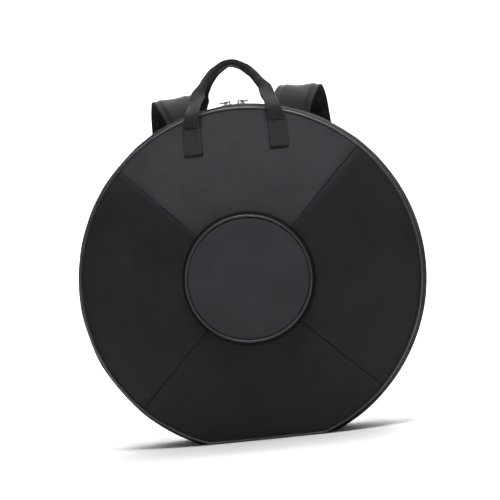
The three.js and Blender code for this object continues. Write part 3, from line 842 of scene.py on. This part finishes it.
# ---- Handles ----
def handle(half, side, body):
    rows = []
    for name, sign in (("left", -1), ("right", 1)):
        x = sign * HANDLE_X
        path = [on_cone(side, x, z, HANDLE_LIFT) for z in np.linspace(HANDLE_LOW, HANDLE_HIGH + 0.0055, 4)]
        across = [across_cone(side, x, z) for z in np.linspace(HANDLE_LOW, HANDLE_HIGH, 4)]
        section = flat_section(0.0042)
        tab = strip(f"{half}_handle_end_{name}", path, across, HANDLE_WIDTH, section, WEBBING, 24)
        place(tab, body, "webbing", f"{half}_handle_tab_{name}")
        rows += box_stitch(path, across, HANDLE_WIDTH, 0.0021)
    place(stitch_mesh(f"{half}_handle_stitches", rows, THREAD), body, "webbing")

    leg = [
        on_cone(side, HANDLE_X, HANDLE_HIGH + 0.006, 2.2 * HANDLE_LIFT),
        (HANDLE_X - 0.004, side * 0.086, H + 0.281),
        (0.061, side * 0.060, H + 0.307),
        (0.050, side * 0.038, H + 0.330),
        (0.029, side * 0.022, H + 0.357),
    ]
    top = (0, side * 0.015, H + 0.371)
    path = [(-x, y, z) for x, y, z in leg] + [top] + leg[::-1]
    leg_across = [
        (1, 0, 0),
        (1, 0, 0.12),
        (1, -side * 0.1, 0.3),
        (0.8, -side * 0.2, -0.7),
        (0.45, -side * 0.5, -0.75),
    ]
    across = leg_across + [(0, -side * 0.75, -0.66)] + [(-x, y, z) for x, y, z in leg_across[::-1]]

    flat = np.array(flat_section(0.0021, 13))
    # The grip: the webbing folded in two along its length, with the fold below and the sewn edges above.
    k = np.linspace(0, TURN, len(flat), endpoint=False)
    oval = np.stack([-np.cos(k) * 0.5, np.sin(k) * 0.0029 * (1 - 0.35 * np.cos(k * 2))], -1)

    def section(t):
        f = smooth(np.minimum(t, 1 - t), 0.245, 0.315)[:, None, None]
        return flat[None] * (1 - f) + oval[None] * f

    def width(t):
        e = np.minimum(t, 1 - t)
        leg_width = HANDLE_WIDTH + (LEG_WIDTH - HANDLE_WIDTH) * smooth(e, 0.01, 0.1)
        return leg_width + (GRIP_WIDTH - leg_width) * smooth(e, 0.24, 0.31)

    def shape(U, V, t, s):
        # Legs curl a little across their width on the way to the fold.
        e = np.minimum(t, 1 - t)
        f = smooth(e, 0.08, 0.27) * (1 - smooth(e, 0.27, 0.33))
        V = V + f[:, None] * 9.0 * (U**2)
        V = V + 0.0005 * np.sin(s[:, None] * 260 + U * 60) * (e[:, None] > 0.3)
        return U, V

    loop = strip(f"{half}_handle_webbing", path, across, width, section, WEBBING, 150, shape)
    place(loop, f"{half}_handle", "webbing", f"{half}_handle_loop")
    # Stitches along the grip's two faces.
    points, sides, up, t, s = frames(path, across, 150)
    keep = (t > 0.33) & (t < 0.67)
    rows = []
    for face in (-1, 1):
        line = points[keep] - sides[keep] * 0.0045 + face * up[keep] * 0.0030
        rows.append((line, face * up[keep]))
    place(stitch_mesh(f"{half}_grip_stitches", rows, THREAD), f"{half}_handle", "webbing")


handle("front", -1, "lid")
handle("rear", 1, "base")


# ---- Metal and plastic pieces keep their CAD shape ----
def bevelled(node, material, width):
    """A CAD piece with its sharp edges rounded."""
    src = bpy.data.objects[node]
    obj = bpy.data.objects.new(node + "_finish", src.data.copy())
    obj.data.materials.clear()
    obj.data.materials.append(material)
    scene.collection.objects.link(obj)
    mod = obj.modifiers.new("bevel", "BEVEL")
    mod.width = width
    mod.segments = 3
    mod.limit_method = "ANGLE"
    depsgraph = bpy.context.evaluated_depsgraph_get()
    mesh = bpy.data.meshes.new_from_object(obj.evaluated_get(depsgraph))
    obj.modifiers.clear()
    obj.data = mesh
    for poly in mesh.polygons:
        poly.use_smooth = True
    return obj


for side in ("left", "right"):
    place(bevelled(f"zip_slider_{side}", NICKEL, 0.0005), f"slider_{side}", "metal", f"zip_slider_{side}")
    place(bevelled(f"zip_pull_{side}", NICKEL, 0.0004), f"pull_{side}", "metal", f"zip_pull_{side}")
    place(bevelled(f"ladder_lock_{side}", ACETAL, 0.0008), f"strap_{side}", "plastic", f"ladder_lock_{side}")


# ---- Shoulder straps ----
def yoke():
    """A band across the back that holds the tops of both straps."""
    xs = np.linspace(-YOKE_HALF, YOKE_HALF, 9)
    path = [on_cone(1, x, YOKE_Z, 0.0032) for x in xs]
    across = []
    for x in xs:
        r = math.hypot(x, YOKE_Z)
        slope = float(back_y(r + 0.001) - back_y(r - 0.001)) / 0.002
        across.append((0, slope * YOKE_Z / r, 1))
    band = strip("yoke_webbing", path, across, YOKE_WIDTH, flat_section(0.004), WEBBING, 80)
    place(band, "base", "webbing", "strap_yoke")
    points, sides, up, _, _ = frames(path, across, 120)
    up = up * np.sign(up[:, 1])[:, None]
    reach = YOKE_WIDTH / 2 - 0.0035
    rows = [(points + sides * a + up * 0.002, up) for a in (-reach, reach)]
    # Two rows across the band beside each strap.
    for x in (-STRAP_TOP_X, STRAP_TOP_X):
        for dx in (-0.03, 0.03):
            k = int(np.argmin(np.abs(points[:, 0] - x - dx)))
            line = [points[k] + sides[k] * a + up[k] * 0.002 for a in np.linspace(-reach, reach, 9)]
            rows.append((line, [up[k]] * 9))
    place(stitch_mesh("yoke_stitches", rows, THREAD), "base", "webbing")


yoke()


def shoulder_strap(name, sign):
    body = f"strap_{name}"

    def at(x, y, z):
        return (sign * x, y, z + H)

    root = on_cone(1, STRAP_TOP_X, YOKE_Z + 0.031, 0.018)
    path = [
        (sign * root[0], root[1], root[2]),
        at(STRAP_TOP_X + 0.002, 0.112, 0.264),
        at(0.101, 0.124, 0.313),
        at(0.117, 0.150, 0.333),
        at(0.125, 0.178, 0.316),
        at(0.130, 0.200, 0.263),
        at(0.137, 0.219, 0.180),
        at(0.147, 0.228, 0.090),
        at(0.158, 0.222, 0.0),
        at(0.168, 0.204, -0.070),
    ]
    twist = [-0.02, -0.02, -0.05, -0.06, -0.05, 0.02, 0.06, 0.1, 0.14, 0.18]
    across = [(1, 0.1 * sign * (i / 9), sign * rise) for i, rise in enumerate(twist)]
    # Foam in the middle, a flat bound hem along both edges. The outer face is cloth, the inner is mesh.
    n = 41
    x = np.linspace(-0.5, 0.5, n)
    d = (0.5 - np.abs(x)) * STRAP_WIDTH
    pad = 0.0011 + 0.0034 * smooth(d, 0.006, 0.014)
    hem = np.where(d < 0.001, 0.4, 1.0)

    def half_pad(suffix, face, material, slot, nodes):
        outer_line = np.stack([x, face * pad * hem], -1)
        middle_line = np.stack([x[::-1], np.zeros(n)], -1)
        loop = np.concatenate([outer_line, middle_line])
        if face < 0:
            loop = loop[::-1]

        def shape(U, V, t, s):
            crease = 0.0007 * np.sin(s[:, None] * 150 + 30 * U + 2 * np.sin(s[:, None] * 37))
            bend = smooth(t, 0.1, 0.3) * (1 - smooth(t, 0.45, 0.6))
            outer = np.abs(V) > 0.002
            V = V + np.sign(V) * outer * crease * (0.25 + bend[:, None])
            # The strap narrows to its lower end.
            taper = 1 - 0.45 * smooth(t, 0.93, 1.0)
            return U * taper[:, None], V

        obj = strip(f"strap_{suffix}_{name}", path, across, STRAP_WIDTH, loop, material, 170, shape)
        place(obj, body, slot, *nodes)

    points, sides, up, t, s = frames(path, across, 170)
    # The outer face is the one away from the loop's middle.
    centre = np.array([sign * 0.12, 0.15, H + 0.12])
    outward = np.sign(np.sum((points - centre) * up, 1).mean())
    half_pad("cloth", outward, STRAP_CLOTH, "cloth", [f"strap_pad_{name}"])
    half_pad("mesh", -outward, MESH, "mesh", [])
    rows = []
    for face in (outward, -outward):
        for a in (-0.0310, 0.0310):
            keep = t < 0.93
            rows.append((points[keep] + sides[keep] * a + face * up[keep] * 0.0013, face * up[keep]))
    place(stitch_mesh(f"strap_stitches_{name}", rows, THREAD), body, "cloth")

    def webbing(label, node, path, across, thick=0.002, width=0.025, count=40, on=body):
        obj = strip(f"{label}_{name}", path, across, width, flat_section(thick), WEBBING, count)
        return place(obj, on, "webbing", node)

    sideways = [(1, 0, sign * 0.2)] * 3
    webbing("lock_loop_webbing", f"strap_lock_loop_{name}",
            [at(0.1686, 0.2026, -0.0745), at(0.171, 0.199, -0.082), at(0.1733, 0.1945, -0.0895)], sideways)

    def rim(r, lift):
        x, z = r * math.sin(LOWER_ANGLE), r * math.cos(LOWER_ANGLE)
        return at(x, float(back_y(r)) + lift, z)

    lower = [
        at(0.181, 0.1785, -0.118),
        at(0.186, 0.150, -0.135),
        at(0.191, 0.115, -0.152),
        rim(0.2525, 0.0115),
    ]
    webbing("lower_webbing", f"strap_lower_webbing_{name}", lower,
            [(1, 0, sign * (0.2 + 0.2 * i)) for i in range(4)], count=60)
    tail = [
        at(0.180, 0.186, -0.117),
        at(0.1815, 0.187, -0.150),
        at(0.183, 0.184, -0.190),
        at(0.1845, 0.181, -0.232),
    ]
    webbing("tail_webbing", f"strap_tail_{name}", tail, [(1, 0.15 * sign, 0)] * 4, count=60)
    tab = [rim(0.2555, 0.0065), rim(0.263, 0.0024), rim(0.270, 0.0022), rim(0.278, 0.0022)]
    tab_across = [(math.cos(LOWER_ANGLE), 0, -sign * math.sin(LOWER_ANGLE))] * 4
    webbing("lower_tab_webbing", f"strap_lower_tab_{name}", tab, tab_across, 0.003, 0.040, 30, "base")


shoulder_strap("left", -1)
shoulder_strap("right", 1)


# ---- Floor, backdrop, light and camera ----
def backdrop():
    """A pale sheet that runs from the floor up behind the bag in one sweep."""
    near, turn_y, bend_r = -6, 3.2, 2.2
    bend = np.linspace(0, math.pi / 2, 20)[1:]
    y = np.concatenate([np.linspace(near, turn_y, 12), turn_y + bend_r * np.sin(bend), [turn_y + bend_r] * 3])
    z = np.concatenate([np.zeros(12), bend_r - bend_r * np.cos(bend), [3.5, 6, 9]])
    x = np.linspace(-9, 9, 3)
    verts = [(a, b, c) for b, c in zip(y, z) for a in x]
    faces = []
    for i in range(len(y) - 1):
        for j in range(2):
            k = i * 3 + j
            faces.append((k, k + 1, k + 4, k + 3))
    m = Nodes("paper")
    m.shader.inputs["Base Color"].default_value = (0.93, 0.93, 0.93, 1)
    m.link(m.range(m.noise(3.0), 0.75, 0.9), m.shader.inputs["Roughness"])
    m.bump((m.noise(300.0), 0.03, 0.0005))
    sweep = mesh_object("backdrop", verts, faces, None, m.material)


backdrop()


def area(name, location, target, size, power, size_y=None):
    light = bpy.data.lights.new(name, "AREA")
    light.energy = power
    light.shape = "RECTANGLE"
    light.size = size
    light.size_y = size_y or size
    obj = bpy.data.objects.new(name, light)
    obj.location = location
    obj.rotation_euler = (Vector(target) - Vector(location)).to_track_quat("-Z", "Y").to_euler()
    scene.collection.objects.link(obj)


area("key_above", (0.1, -1.3, 2.6), (0, 0, 0.3), 1.5, 62, 0.9)
area("top", (0.0, 0.5, 2.6), (0, 0.3, 0), 2.6, 8)
area("fill_right", (2.8, -0.9, 0.9), (0, 0, 0.35), 1.2, 4)
area("fill_left", (-2.8, -0.6, 0.9), (0, 0, 0.35), 1.2, 1.5)
area("behind", (0.6, 3.0, 2.2), (0, 0.5, 0.1), 2.4, 60)
area("backdrop_wash", (0, 2.0, 4.6), (0, 5.4, 1.5), 5.0, 420)


def studio_world():
    """The room looks white, and lights the bag only a little."""
    world = bpy.data.worlds.new("studio")
    world.use_nodes = True
    tree = world.node_tree
    dim = tree.nodes["Background"]
    dim.inputs[0].default_value = (1, 1, 1, 1)
    dim.inputs[1].default_value = 0.08
    seen = tree.nodes.new("ShaderNodeBackground")
    seen.inputs[0].default_value = (1, 1, 1, 1)
    seen.inputs[1].default_value = 1.0
    rays = tree.nodes.new("ShaderNodeLightPath")
    mix = tree.nodes.new("ShaderNodeMixShader")
    tree.links.new(rays.outputs["Is Camera Ray"], mix.inputs[0])
    tree.links.new(dim.outputs[0], mix.inputs[1])
    tree.links.new(seen.outputs[0], mix.inputs[2])
    tree.links.new(mix.outputs[0], tree.nodes["World Output"].inputs[0])
    scene.world = world
    scene.view_settings.view_transform = "Standard"


studio_world()

CAMERA_DISTANCE = 2.8
AZIMUTH = math.radians(2.5)
ELEVATION = math.radians(-0.5)
ROLL = math.radians(6.0)
AIM = Vector((0.004, -0.07, H + 0.047))


def main_camera():
    data = bpy.data.cameras.new("camera")
    data.sensor_width = 36
    data.lens = 120
    camera = bpy.data.objects.new("camera", data)
    level = math.cos(ELEVATION)
    direction = Vector((math.sin(AZIMUTH) * level, -math.cos(AZIMUTH) * level, math.sin(ELEVATION)))
    place_at = Matrix.Translation(AIM + direction * CAMERA_DISTANCE)
    look = (-direction).to_track_quat("-Z", "Y").to_matrix().to_4x4()
    camera.matrix_world = place_at @ look @ Matrix.Rotation(-ROLL, 4, "Z")
    scene.collection.objects.link(camera)
    scene.camera = camera


main_camera()
